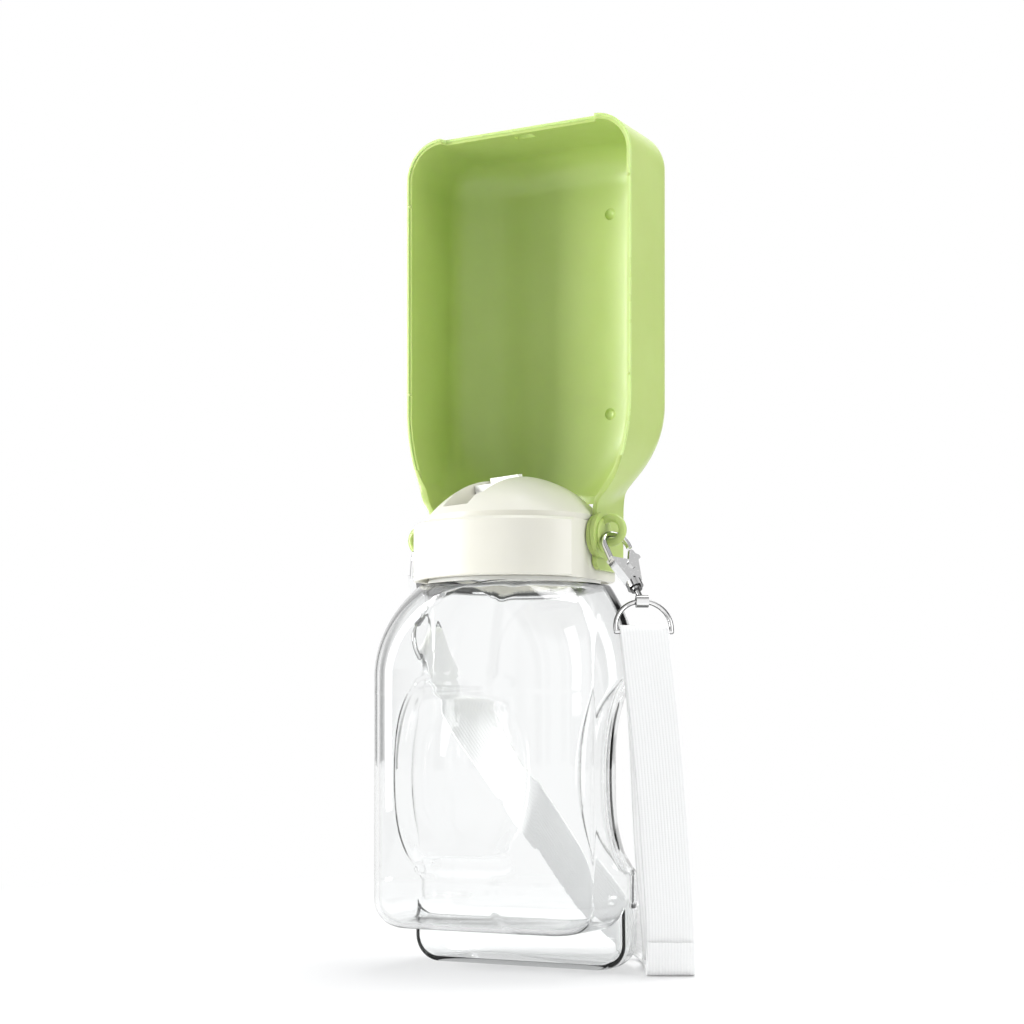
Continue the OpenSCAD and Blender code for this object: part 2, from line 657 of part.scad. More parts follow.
bottle_body();
neck_gasket();
collar_ring();
hinge_pin(1);  // hinge_pin_right
hinge_pin(-1);  // hinge_pin_left
knob(1);  // knob_right
knob(-1);  // knob_left
trough();
lid_gasket();
dome_lid();
lid_liner();
outlet_valve();
flow_slider();
hook(1);  // hook_right
hook(-1);  // hook_left
gate(1);  // gate_right
gate(-1);  // gate_left
gate_spring(1);  // gate_spring_right
gate_spring(-1);  // gate_spring_left
rivet(1);  // rivet_right
rivet(-1);  // rivet_left
swivel(1);  // swivel_right
swivel(-1);  // swivel_left
d_ring(1);  // d_ring_right
d_ring(-1);  // d_ring_left
strap();
strap_end_right();
strap_end_left();
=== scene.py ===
# Dog travel water bottle. Shapes are written in millimetres about the cap's axis and
# set down in the part's frame by place().
import json
import math
import bmesh
import bpy
import numpy as np
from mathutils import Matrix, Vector

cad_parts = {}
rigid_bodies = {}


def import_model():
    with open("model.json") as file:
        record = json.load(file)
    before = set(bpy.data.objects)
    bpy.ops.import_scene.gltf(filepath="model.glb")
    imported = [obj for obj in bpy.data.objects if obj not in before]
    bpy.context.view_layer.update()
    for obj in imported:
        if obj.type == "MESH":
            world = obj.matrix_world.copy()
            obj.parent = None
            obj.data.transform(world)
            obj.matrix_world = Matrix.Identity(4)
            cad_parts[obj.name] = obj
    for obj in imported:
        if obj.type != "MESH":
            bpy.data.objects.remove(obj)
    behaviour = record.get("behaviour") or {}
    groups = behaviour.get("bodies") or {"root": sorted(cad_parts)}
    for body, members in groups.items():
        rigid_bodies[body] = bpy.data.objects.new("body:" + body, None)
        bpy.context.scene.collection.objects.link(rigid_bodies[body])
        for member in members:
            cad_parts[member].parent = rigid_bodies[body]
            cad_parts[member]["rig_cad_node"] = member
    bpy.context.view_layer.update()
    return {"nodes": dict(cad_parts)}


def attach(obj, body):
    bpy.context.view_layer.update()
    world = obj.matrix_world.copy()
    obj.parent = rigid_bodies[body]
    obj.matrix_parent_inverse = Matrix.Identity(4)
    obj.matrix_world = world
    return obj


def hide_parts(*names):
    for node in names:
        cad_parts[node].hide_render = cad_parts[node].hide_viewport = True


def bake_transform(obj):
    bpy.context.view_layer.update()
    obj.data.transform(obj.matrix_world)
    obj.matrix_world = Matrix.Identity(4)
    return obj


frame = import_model()
nodes = frame["nodes"]
CAP_Y = -13.0
SIDES = ((1, "right"), (-1, "left"))


# ---------------------------------------------------------------- meshes
def place(points):
    """Millimetres about the cap's axis to metres in the part's frame."""
    p = np.asarray(points, float).reshape(-1, 3)
    return (p + [0, CAP_Y, 0]) * 0.001


def shaded(mesh, sharp):
    """Smooth shading, with an edge wherever two faces meet at more than the angle."""
    mesh.polygons.foreach_set("use_smooth", [True] * len(mesh.polygons))
    mesh.set_sharp_from_angle(angle=math.radians(sharp))


def made(name, verts, faces, uvs=None, sharp=35):
    """An object from points in millimetres and faces."""
    mesh = bpy.data.meshes.new(name)
    mesh.from_pydata(place(verts).tolist(), [], [list(f) for f in faces])
    mesh.validate()
    if uvs is not None:
        uv_map = mesh.uv_layers.new(name="UVMap")
        for loop in mesh.loops:
            uv_map.data[loop.index].uv = uvs[loop.vertex_index]
    shaded(mesh, sharp)
    obj = bpy.data.objects.new(name, mesh)
    bpy.context.scene.collection.objects.link(obj)
    return obj


def grid_faces(rows, cols, closed, start=0):
    """Quads of a grid of points, rows by cols, its columns closed into rings or open."""
    out = []
    for j in range(rows - 1):
        for i in range(cols if closed else cols - 1):
            k = (i + 1) % cols
            out.append([start + j * cols + i, start + j * cols + k,
                        start + (j + 1) * cols + k, start + (j + 1) * cols + i])
    return out


def skinned(name, rings):
    """A closed mesh over rings of points, capped at both ends."""
    n = len(rings[0])
    faces = grid_faces(len(rings), n, True)
    faces.append(list(range(n))[::-1])
    faces.append([(len(rings) - 1) * n + i for i in range(n)])
    return made(name, np.vstack(rings), faces)


def lathe(profile, turns=64, axis="Z"):
    """A profile of [radius, height] pairs turned about an axis through the origin."""
    a = np.linspace(0, 2 * math.pi, turns, endpoint=False)
    rings = []
    for r, h in profile:
        c, s, level = r * np.cos(a), r * np.sin(a), np.full(turns, h)
        rings.append(np.column_stack({"Z": [c, s, level], "X": [level, c, s], "Y": [s, level, c]}[axis]))
    n = len(rings)
    faces = grid_faces(n, turns, True)
    if list(profile[0]) != list(profile[-1]):
        faces += [list(range(turns))[::-1], [(n - 1) * turns + i for i in range(turns)]]
    return np.vstack(rings), faces


def ball(centre, r, rings=24):
    slopes = np.linspace(0.02, math.pi - 0.02, rings)
    verts, faces = lathe([(r * math.sin(t), r * math.cos(t)) for t in slopes], 32)
    return verts + np.array(centre), faces


def block(low, high):
    verts = [[x, y, z] for x in (low[0], high[0]) for y in (low[1], high[1]) for z in (low[2], high[2])]
    return verts, [[0, 1, 3, 2], [4, 6, 7, 5], [0, 4, 5, 1], [2, 3, 7, 6], [0, 2, 6, 4], [1, 5, 7, 3]]


def welded(obj, distance=0.00001):
    """Merges points that lie within a distance in metres, and turns every face outward."""
    bm = bmesh.new()
    bm.from_mesh(obj.data)
    bmesh.ops.remove_doubles(bm, verts=bm.verts, dist=distance)
    bmesh.ops.recalc_face_normals(bm, faces=bm.faces)
    bm.to_mesh(obj.data)
    bm.free()


def joined(name, parts):
    """One mesh from several [points, faces]."""
    verts, faces, count = [], [], 0
    for part_verts, part_faces in parts:
        verts.append(np.asarray(part_verts))
        faces += [[i + count for i in face] for face in part_faces]
        count += len(part_verts)
    obj = made(name, np.vstack(verts), faces)
    welded(obj, 1e-7)
    return obj


def applied(obj):
    """Bakes the object's modifiers into its mesh."""
    depsgraph = bpy.context.evaluated_depsgraph_get()
    mesh = bpy.data.meshes.new_from_object(obj.evaluated_get(depsgraph))
    obj.modifiers.clear()
    obj.data = mesh


def cut(obj, tool, how="DIFFERENCE"):
    """Boolean of obj with a tool, which is then thrown away."""
    mod = obj.modifiers.new("cut", "BOOLEAN")
    mod.operation, mod.solver, mod.object = how, "EXACT", tool
    applied(obj)
    bpy.data.objects.remove(tool)


def bevelled(obj, width):
    """Rounds the edges sharper than 50 degrees, by a width in millimetres."""
    mod = obj.modifiers.new("edge", "BEVEL")
    mod.width = width * 0.001
    mod.segments = 3
    mod.limit_method = "ANGLE"
    mod.angle_limit = math.radians(50)
    applied(obj)


def smoothstep(x, a, b):
    t = np.clip((np.asarray(x, float) - a) / (b - a), 0, 1)
    return t * t * (3 - 2 * t)


def sind(a):
    return math.sin(math.radians(a))


def cosd(a):
    return math.cos(math.radians(a))


# ---------------------------------------------------------------- shader nodes
def add_node(tree, kind, **inputs):
    """A shader node with its inputs set or linked; i0, i1 and so on name an input by its number."""
    n = tree.nodes.new(kind)
    for key, value in inputs.items():
        key = int(key[1:]) if key[0] == "i" and key[1:].isdigit() else key.replace("_", " ")
        if hasattr(value, "is_output"):
            tree.links.new(value, n.inputs[key])
        else:
            n.inputs[key].default_value = value
    return n


def add_math(tree, operation, *values):
    n = add_node(tree, "ShaderNodeMath", **{f"i{k}": v for k, v in enumerate(values)})
    n.operation = operation
    return n.outputs[0]


def add_range(tree, value, low, high, to_low, to_high):
    """The value from low to high, mapped to to_low to to_high."""
    n = add_node(tree, "ShaderNodeMapRange", Value=value, From_Min=low, From_Max=high, To_Min=to_low,
                 To_Max=to_high)
    return n.outputs[0]


class Look:
    """A node material with short calls for its usual parts."""

    def __init__(self, name, colour, roughness, **sockets):
        self.mat = bpy.data.materials.new(name)
        self.mat.use_nodes = True
        self.tree = self.mat.node_tree
        self.shader = self.tree.nodes["Principled BSDF"]
        self.output = self.tree.nodes["Material Output"]
        self.set("Base Color", (*colour, 1))
        self.set("Roughness", roughness)
        for key, value in sockets.items():
            self.set(key.replace("_", " "), value)

    def set(self, socket, value):
        self.shader.inputs[socket].default_value = value

    def link(self, socket, value):
        self.tree.links.new(value, self.shader.inputs[socket])

    def node(self, kind, **inputs):
        return add_node(self.tree, kind, **inputs)

    def at(self, scale=(1, 1, 1), uv=False):
        """Coordinates in metres, or the webbing's own, times scale."""
        c = self.node("ShaderNodeTexCoord").outputs["UV" if uv else "Object"]
        return self.node("ShaderNodeMapping", Vector=c, Scale=scale).outputs[0]

    def noise(self, size, detail=3.0, uv=False):
        """Noise whose features are about size metres across."""
        n = self.node("ShaderNodeTexNoise", Vector=self.at(uv=uv), Scale=1 / size, Detail=detail)
        return n.outputs["Fac"]

    def facing(self):
        """0 where the surface faces the eye and 1 where it turns away."""
        return self.node("ShaderNodeLayerWeight", Blend=0.5).outputs["Facing"]

    def ramp(self, fac, stops):
        n = self.node("ShaderNodeValToRGB", Fac=fac)
        while len(n.color_ramp.elements) < len(stops):
            n.color_ramp.elements.new(0.5)
        for e, (p, c) in zip(n.color_ramp.elements, stops):
            e.position, e.color = p, (c, c, c, 1) if isinstance(c, float) else (*c, 1)
        return n.outputs["Color"]

    def bump(self, height, distance, strength=1.0, normal=None):
        n = self.node("ShaderNodeBump", Height=height, Distance=distance, Strength=strength)
        if normal is not None:
            self.tree.links.new(normal, n.inputs["Normal"])
        return n.outputs["Normal"]


# ---------------------------------------------------------------- materials
def linear(r, g, b):
    """A colour as a screen writes it, 0 to 255, in the renderer's linear values."""
    return tuple(c / 12.92 if c <= 0.04045 else ((c + 0.055) / 1.055) ** 2.4
                 for c in (r / 255, g / 255, b / 255))


def moulded(name, colour, darker, roughness, **sockets):
    """Moulded plastic: a fine grain, slight cloudiness and slightly uneven gloss."""
    m = Look(name, colour, roughness, **sockets)
    m.link("Base Color", m.ramp(m.noise(0.03, 2), [(0.35, darker), (0.65, colour)]))
    m.link("Roughness", m.ramp(m.noise(0.008, 4), [(0.3, roughness - 0.05), (0.7, roughness + 0.05)]))
    m.link("Normal", m.bump(m.noise(0.0006, 2), 0.00002, 0.35, m.bump(m.noise(0.012, 2), 0.0001, 0.25)))
    return m


def clear_plastic():
    """Glass-clear plastic, slightly wavy, whose colour darkens where it is seen edge on: painted shade."""
    m = Look("clear_plastic", (0.985, 0.992, 0.995), 0.015, Transmission_Weight=1.0, IOR=1.47)
    m.link("Normal", m.bump(m.noise(0.04, 1), 0.0004, 0.12))
    # painted shade: the colour turns dark grey towards the edges seen edge on, standing in for the dark the
    # glass refracts there
    m.link("Base Color", m.ramp(m.facing(), [(0.0, (0.99, 0.995, 0.995)), (0.7, (0.96, 0.965, 0.965)),
                                             (0.88, (0.68, 0.69, 0.69)), (1.0, (0.32, 0.33, 0.33))]))
    tint = m.node("ShaderNodeVolumeAbsorption", Color=(0.74, 0.76, 0.76, 1), Density=25.0)
    m.tree.links.new(tint.outputs[0], m.output.inputs["Volume"])
    return m


def plated(name, rim):
    """Polished plating whose colour darkens where it turns away, a painted reflection: rim is the facing at
    which that starts.
    """
    m = Look(name, (0.80, 0.80, 0.81), 0.09, Metallic=1.0)
    m.link("Roughness", m.ramp(m.noise(0.0015, 5), [(0.3, 0.06), (0.7, 0.16)]))
    # painted reflections: bright where the plating faces the eye, dark past rim, lighter again at the grazing
    # edge
    m.link("Base Color", m.ramp(m.facing(), [(0.0, 0.88), (rim, 0.84), (rim + 0.09, 0.22), (0.6, 0.08),
                                             (0.8, 0.5), (1.0, 0.8)]))
    m.link("Normal", m.bump(m.noise(0.0008, 3), 0.00001, 0.3))
    return m


def spring_steel():
    m = Look("steel", (0.62, 0.62, 0.63), 0.28, Metallic=1.0)
    m.link("Roughness", m.ramp(m.noise(0.001, 3), [(0.3, 0.22), (0.7, 0.36)]))
    return m


def webbing():
    """Ribbed webbing: fine ribs along its length, a fainter weft across them and a soft nap."""
    m = Look("webbing", (0.93, 0.93, 0.93), 0.8, Sheen_Weight=0.2, Sheen_Roughness=0.5)

    def wave(direction, spacing, distortion):
        n = m.node("ShaderNodeTexWave", Vector=m.at(uv=True), Scale=math.pi / (10 * spacing),
                   Distortion=distortion, Detail=2.0)
        n.bands_direction = direction
        return n.outputs["Fac"]

    weft = add_math(m.tree, "MULTIPLY", wave("Y", 0.0009, 0.5), 0.25)
    weave = add_math(m.tree, "ADD", wave("X", 0.00125, 0.3), weft)
    m.link("Base Color", m.ramp(weave, [(0.0, (0.885, 0.885, 0.88)), (0.7, (0.945, 0.945, 0.94))]))
    nap = m.bump(m.noise(0.0006, 3, uv=True), 0.0001, 0.25)
    m.link("Normal", m.bump(weave, 0.00012, 0.5, nap))
    return m


green = moulded("green_plastic", linear(180, 199, 116), linear(177, 196, 112), 0.33,
                Subsurface_Weight=0.2, Subsurface_Radius=(0.004, 0.006, 0.002), Subsurface_Scale=0.6,
                Coat_Weight=0.12, Coat_Roughness=0.12)
# painted light: a lighter copy of the green for the ridge along the tray's rim, where the rim catches the
# light
green_rim_painted_light = moulded("green_rim_painted_light", linear(192, 213, 140), linear(189, 210, 136), 0.3,
                    Subsurface_Weight=0.3, Subsurface_Radius=(0.004, 0.006, 0.002), Subsurface_Scale=0.6)
cream = moulded("cream_plastic", linear(227, 225, 214), linear(224, 222, 210), 0.34,
                Subsurface_Weight=0.08, Subsurface_Radius=(0.004, 0.004, 0.003), Subsurface_Scale=0.5)
white = moulded("white_plastic", linear(246, 246, 243), linear(243, 243, 240), 0.3)
silicone = moulded("silicone", linear(228, 228, 222), linear(222, 222, 216), 0.5, Subsurface_Weight=0.2,
                   Subsurface_Radius=(0.003, 0.003, 0.003), Subsurface_Scale=0.5)
clear = clear_plastic()
chrome = plated("chrome", 0.14)
flat_chrome = plated("flat_chrome", 0.44)
steel = spring_steel()
fabric = webbing()


def paint(obj, look):
    """One look all over the piece; every slot of a CAD node takes it."""
    if not obj.material_slots:
        obj.data.materials.append(look.mat)
    for s in obj.material_slots:
        s.material = look.mat


def both(*stems):
    """The names of the right and the left piece of each stem."""
    return [f"{stem}_{name}" for stem in stems for _, name in SIDES]


for names, look, slot_name in (
        (["collar_ring", "dome_lid"], cream, "cream_plastic"),
        (["trough", *both("knob")], green, "green_plastic"),
        (["lid_liner", "flow_slider"], white, "white_plastic"),
        (["neck_gasket", "lid_gasket", "outlet_valve"], silicone, "silicone"),
        (both("hinge_pin", "gate_spring"), steel, "steel"),
        (["bottle_body"], clear, "clear_plastic"),
        (both("swivel", "d_ring"), chrome, "chrome"),
        (both("hook", "gate", "rivet"), flat_chrome, "chrome")):
    for n in names:
        paint(nodes[n], look)

# ---------------------------------------------------------------- plans and lofts
HALF_W, FRONT, BACK, FRONT_R, BACK_R = 50.7, 44.0, 36.0, 18.0, 28.0
PLATE_Z, PLATE_R, SHOULDER_R, ARC = 161.0, 40.5, 55.0, 45.0
SHOULDER_Z = PLATE_Z - SHOULDER_R * sind(ARC)
HINGE_Z, HALF_T = 181.0, 54.0


def plan(half, back, back_r, front, front_r):
    """Four corners [x, y, radius along x, radius along y]; front_r holds the front corners' two radii."""
    rx, ry = front_r
    return np.array([[half - back_r, back - back_r, back_r, back_r],
                     [back_r - half, back - back_r, back_r, back_r],
                     [rx - half, ry - front, rx, ry], [half - rx, ry - front, rx, ry]])


def grown(p, g):
    """A plan grown outward by g."""
    return p + [0, 0, g, g]


def drawn_in(p, k, r):
    """A plan drawn in by the share k towards a circle of radius r."""
    return np.column_stack([p[:, :2] * (1 - k), p[:, 2:] * (1 - k) + r * k])


def outline(p, arc, flat):
    """Points round a plan: each corner's arc, then the flat to the next corner."""
    out = []
    for q in range(4):
        a = np.radians(90 * (q + np.arange(arc + 1) / arc))
        corner = p[q, :2] + p[q, 2:] * np.column_stack([np.cos(a), np.sin(a)])
        following = p[(q + 1) % 4]
        b = math.radians(90 * (q + 1))
        to = following[:2] + following[2:] * np.array([math.cos(b), math.sin(b)])
        t = (np.arange(1, flat[q]) / flat[q])[:, None]
        out += [corner, corner[-1] + (to - corner[-1]) * t]
    return np.vstack(out)


def share(a):
    """How far towards the neck the shoulder has come in at the angle a of its arc."""
    return (1 - cosd(a)) / (1 - cosd(ARC))


def edge_levels(p, z, e, g, step):
    """Heights and plans of a bottom edge rounded by e, from the flat at z up to the wall."""
    return [(z + e - (e + g) * sind(a), grown(p, (e + g) * cosd(a) - e)) for a in np.arange(90, -0.1, -step)]


def shoulder_levels(p, r, rise, g, step):
    """Heights and plans of the shoulder, from the wall in to a circle of radius r."""
    return [(SHOULDER_Z + (rise + g) * sind(a), grown(drawn_in(p, share(a), r), g * cosd(a)))
            for a in np.arange(0, ARC + 0.1, step)]


def filled(levels, step):
    """The levels with more between any two that stand far apart."""
    out = [levels[0]]
    for (z0, p0), (z1, p1) in zip(levels, levels[1:]):
        n = max(1, int(math.ceil(abs(z1 - z0) / step)))
        out += [(z0 + (z1 - z0) * k / n, p0 + (p1 - p0) * k / n) for k in range(1, n + 1)]
    return out


# ---------------------------------------------------------------- the clear bottle
BOTTLE_WALL, BELLY_Z, BELLY_EDGE = 2.0, 17.0, 12.0
BELLY = plan(HALF_W, BACK, BACK_R, FRONT, (FRONT_R, FRONT_R))
FOOT_EDGE, FOOT_FRONT, FOOT_R, FOOT_TOP, FOOT_TAPER = 11, 4.0, 3, (20.0, 36.0), 0.12
# radius and height up the neck, outside and inside
NECK = [(38.0, 161.0), (34.2, 161.0), (33.3, 161.3), (33.0, 162.2), (33.0, 170.0), (33.3, 170.2),
        (33.3, 171.8), (33.0, 172.0), (33.0, 175.4), (32.4, 176.0)]
BORE = [(37.0, 159.0), (31.5, 159.0), (30.3, 159.4), (30.0, 160.4), (30.0, 178.0)]
GRIP_Z, GRIP_R, GRIP_CENTRE, GRIP_RAMP = (40.0, 122.0), 44.0, (4.0, -10.5), 9.0
GRIP_BACK, GRIP_SIDE = (13.8, 26.0), (-15.5, 26.0)   # nearest x or y of each edge, and how far it curves away
BEAD, GROOVE = (0.45, 2.0), (0.3, 2.2)               # height and width of the grip's bead and groove
MOULD_LINES = (37.0, 116.5)
FACE_X, FACE_Y = HALF_W - BACK_R, BACK - BACK_R
CORNER = BACK_R * math.pi / 2


def hump(distance, height, width):
    return height * np.exp(-(distance / width) ** 2)


def corner_way(past):
    """The way round the back corner at which its x or y has come past the straight face."""
    return BACK_R * np.arcsin(np.clip(past / BACK_R, 0, 1))


def gripped(ring, g):
    """A ring of points, drawn in by -g, with the grips' round hollows sunk into its back corners."""
    x, y, z = np.abs(ring[:, 0]), ring[:, 1], ring[:, 2]
    # how far along the back, round the corner and along the side each point lies
    turn = np.arctan2(np.maximum(x - FACE_X, 0), np.maximum(y - FACE_Y, 1e-9))
    s = np.minimum(x, FACE_X) + BACK_R * turn + np.maximum(FACE_Y - y, 0)
    t = np.clip((2 * z - sum(GRIP_Z)) / (GRIP_Z[1] - GRIP_Z[0]), -1, 1)
    away = 1 - np.sqrt(1 - t * t)
    back_edge = GRIP_BACK[0] + GRIP_BACK[1] * away
    side_edge = GRIP_SIDE[0] + GRIP_SIDE[1] * away
    start = np.where(back_edge < FACE_X, back_edge, FACE_X + corner_way(back_edge - FACE_X))
    end = FACE_X + CORNER + np.where(side_edge < FACE_Y, FACE_Y - side_edge, -corner_way(side_edge - FACE_Y))
    within = np.minimum(s - start, end - s)
    ramp = np.clip(within / GRIP_RAMP, 0, 1)
    deep = (1 - np.abs(t) ** 3) * (0.3 * ramp + 0.7 * smoothstep(ramp, 0, 1))
    bead = 0.0
    if g == 0:
        # outside, a raised bead follows the hollow's edge and a faint groove its floor
        inside = np.minimum(within, (1 - np.abs(t)) * (GRIP_Z[1] - GRIP_Z[0]) / 2)
        bead = hump(inside, *BEAD) - hump(inside - GRIP_RAMP, *GROOVE)
    v = np.column_stack([x, y]) - GRIP_CENTRE
    reach = np.hypot(v[:, 0], v[:, 1])
    new = GRIP_CENTRE + v * ((reach - deep * np.maximum(reach - g - GRIP_R, 0) + bead) / reach)[:, None]
    return np.column_stack([np.where(ring[:, 0] < 0, -1, 1) * new[:, 0], new[:, 1], z])


def level_ring(z, p):
    xy = outline(p, 30, (36, 44, 60, 44))
    return np.column_stack([xy, np.full(len(xy), z)])


def belly(g, neck, name):
    """The body without its foot, grown by g, and its neck."""
    levels = edge_levels(BELLY, BELLY_Z, BELLY_EDGE, g, 6)
    levels += shoulder_levels(BELLY, PLATE_R, SHOULDER_R, g, 2.5)
    rings = [gripped(level_ring(z, p), g) for z, p in filled(levels, 1.1)]
    # faint lines that the mould leaves across the front
    for ring in rings:
        front = smoothstep(-ring[:, 1], 30, 40)
        for line_z in MOULD_LINES:
            ring[:, 1] -= front * hump(ring[:, 2] - line_z, 0.22, 0.9)
    for r, z in neck:
        rings.append(level_ring(z, plan(r, r, r, r, (r, r))))
    return skinned(name, rings)


def foot(g, name):
    """The foot, grown by g: its rounded bottom edge, then straight up into the body."""
    turned = [(FOOT_EDGE - (FOOT_EDGE + g) * sind(a), (FOOT_EDGE + g) * cosd(a) - FOOT_EDGE)
              for a in np.arange(90, -0.1, -6)]
    levels = []
    for z, out in turned + [(z, g - FOOT_TAPER) for z in FOOT_TOP]:
        right, left = grown(BELLY, out)[:2]
        r = FOOT_R + g / 2
        front_x = HALF_W + out - 0.2 - r
        levels.append((z, np.array([right, left, [-front_x, FOOT_FRONT, r, r], [front_x, FOOT_FRONT, r, r]])))
    return skinned(name, [level_ring(z, p) for z, p in filled(levels, 3)])


def clear_bottle():
    """The bottle, hollow right through its neck."""
    bottle = belly(0.0, NECK, "bottle_clear")
    cut(bottle, foot(0.0, "foot"), "UNION")
    hollow = belly(-BOTTLE_WALL, BORE, "hollow")
    cut(hollow, foot(-BOTTLE_WALL, "foot_hollow"), "UNION")
    cut(bottle, hollow)
    shaded(bottle.data, 32)
    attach(bottle, "bottle")
    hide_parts("bottle_body")
    paint(bottle, clear)
    bottle.visible_diffuse = False   # soft light reaches what stands behind the glass


clear_bottle()

# ---------------------------------------------------------------- the trough
RIM, END, SIDE_R, END_R, WALL, BACK_T = 1.5, 4.5, (36.0, 18.0), 17.0, 2.2, 52.0
TRAY = plan(HALF_T, 30.0, 20.0, BACK_T, SIDE_R)
SHOULDER_GAP = 2.8          # how far the shoulder stands off the bottle's
OPENING_R = 43.9            # where it stops round the collar
LIP, LIP_HALF = 3.0, (36.2, 37.4)
COLS = 120
SLOT = (-4.2, 7.3, 350), (4.2, 11.7, 366)
DIMPLE_X, DIMPLE_R, DIMPLE_Z = 21.5, 3.4, (328.8, 240.3)
NUB_Z, NUB = (330, 247.5), [(0.9, 1.2), (0.9, -0.1), (0.6, -0.5), (0.05, -0.6)]
ARM_IN, ARM_OUT, ARM_FRONT, ARM_BACK, ARM_LOW, ARM_TOP, ARM_CORNER = 37.7, 39.9, -2.5, 24.0, 167, 214, 4
PIN_BORE = 2.05
DISC = [(PIN_BORE, ARM_IN), (8.2, ARM_IN), (8.6, 38.1), (8.6, 39.5), (8.2, ARM_OUT), (PIN_BORE, ARM_OUT),
        (PIN_BORE, ARM_IN)]


def half_ring(z, p):
    """The part of an outline in front of the rim's plane, from right to left, evenly spaced."""
    xy = outline(p, 40, (30, 30, 60, 30))
    keep = xy[xy[:, 1] <= -RIM]
    keep = keep[np.argsort(np.arctan2(keep[:, 0], -keep[:, 1]))[::-1]]
    line = np.vstack([[keep[0, 0], -RIM], keep, [keep[-1, 0], -RIM]])
    d = np.concatenate([[0], np.cumsum(np.hypot(*np.diff(line, axis=0).T))])
    t = np.linspace(0, d[-1], COLS + 1)
    return np.column_stack([np.interp(t, d, line[:, 0]), np.interp(t, d, line[:, 1]), np.full(len(t), z)])


def last_level(away):
    """The level, with its fraction, at which a column of the shoulder reaches the collar's opening."""
    past = np.flatnonzero(away < OPENING_R)
    if not len(past):
        return len(away) - 1.0
    before, after = away[past[0] - 1], away[past[0]]
    return past[0] - 1 + (before - OPENING_R) / (before - after + 1e-9)


def tray_rows(g):
    """Rows of the tray's surface, folded down: the end wall, its round edge, the sides and the shoulder."""
    levels = filled(edge_levels(TRAY, END, END_R, g, 5) + [(SHOULDER_Z, grown(TRAY, g))], 3.0)
    rows = [half_ring(z, p) for z, p in levels]
    first = rows[0]
    lip = -RIM - LIP * (1 - smoothstep(np.abs(first[:, 0]), *LIP_HALF))
    cap = [np.column_stack([first[:, 0], first[:, 1] + (lip - first[:, 1]) * s, first[:, 2]])
           for s in np.linspace(1, 0, 13)[:-1]]
    arcs = shoulder_levels(TRAY, PLATE_R + SHOULDER_GAP, SHOULDER_R + SHOULDER_GAP, g, 1.5)
    stack = np.array([half_ring(z, p) for z, p in arcs])
    away = np.hypot(stack[:, :, 0], stack[:, :, 1])
    columns = range(stack.shape[1])
    last = np.array([last_level(away[:, i]) for i in columns])
    k = np.arange(len(arcs))
    for s in np.linspace(0, 1, 25)[1:]:
        at = np.clip(last * s, 0, len(arcs) - 1)
        rows.append(np.array([[np.interp(at[i], k, stack[:, i, c]) for c in range(3)] for i in columns]))
    return cap + rows


def upright(points):
    """From folded down to turned up about the hinge."""
    p = np.asarray(points, float).reshape(-1, 3)
    return p * [1, -1, -1] + [0, 0, 2 * HINGE_Z]


def shell(outer, inner):
    """Faces of two grids joined round their whole edge."""
    rows, cols = len(outer), len(outer[0])
    n = rows * cols
    faces = [f[::-1] for f in grid_faces(rows, cols, False)] + grid_faces(rows, cols, False, n)
    edge = [i for i in range(cols)] + [j * cols + cols - 1 for j in range(1, rows)]
    edge += [(rows - 1) * cols + i for i in range(cols - 2, -1, -1)]
    edge += [j * cols for j in range(rows - 2, 0, -1)]
    for a, b in zip(edge, edge[1:] + edge[:1]):
        faces.append([a, b, b + n, a + n])
    return np.vstack([np.vstack(outer), np.vstack(inner)]), faces


def rimmed(outer, inner, share_out=0.45, lift=0.5):
    """Two grids joined round their edge, with a ridge along the rim; the ridge's faces come apart, last."""
    rows, cols = len(outer), len(outer[0])
    n = rows * cols
    faces = [f[::-1] for f in grid_faces(rows, cols, False)] + grid_faces(rows, cols, False, n)
    low = (rows - 1) * cols
    faces += [[low + i, low + i + 1, n + low + i + 1, n + low + i] for i in range(cols - 1)]
    rim = [j * cols for j in range(rows - 1, -1, -1)] + list(range(1, cols))
    rim += [j * cols + cols - 1 for j in range(1, rows)]
    flat_out, flat_in = np.vstack(outer), np.vstack(inner)
    o, i = flat_out[rim], flat_in[rim]
    from_end = np.minimum(np.arange(len(rim)), np.arange(len(rim))[::-1])
    raised = np.zeros((len(rim), 3))
    raised[:, 1] = -lift * smoothstep(from_end, 0, 14)
    ridge = np.vstack([o + raised, o + (i - o) * share_out + raised, o + (i - o) * share_out])
    base, m = 2 * n, len(rim)
    lit = []
    for k in range(m - 1):
        a, b = rim[k], rim[k + 1]
        r0, r1, r2 = base + k, base + m + k, base + 2 * m + k
        lit += [[a, b, r0 + 1, r0], [r0, r0 + 1, r1 + 1, r1], [r1, r1 + 1, r2 + 1, r2]]
        faces.append([r2, r2 + 1, b + n, a + n])
    return np.vstack([flat_out, flat_in, ridge]), faces, lit


def tray():
    """The tray, with a slot through its end wall and two dimples in its back."""
    outer, inner = ([upright(row) for row in tray_rows(g)] for g in (0.0, -WALL))
    verts, faces, lit = rimmed(outer, inner)
    obj = made("trough_tray", verts, faces + lit)
    # the ridge along the rim takes the lighter green, painted light on the rim
    obj.data.materials.append(green.mat)
    obj.data.materials.append(green_rim_painted_light.mat)
    obj.data.polygons.foreach_set("material_index", [0] * len(faces) + [1] * len(lit))
    welded(obj)
    bevelled(obj, 0.2)
    dimples = [ball((DIMPLE_X, BACK_T - WALL - 2.3, z), DIMPLE_R) for z in DIMPLE_Z]
    cut(obj, joined("tray_cutters", [block(*SLOT), *dimples]))
    shaded(obj.data, 35)
    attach(obj, "trough")
    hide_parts("trough")


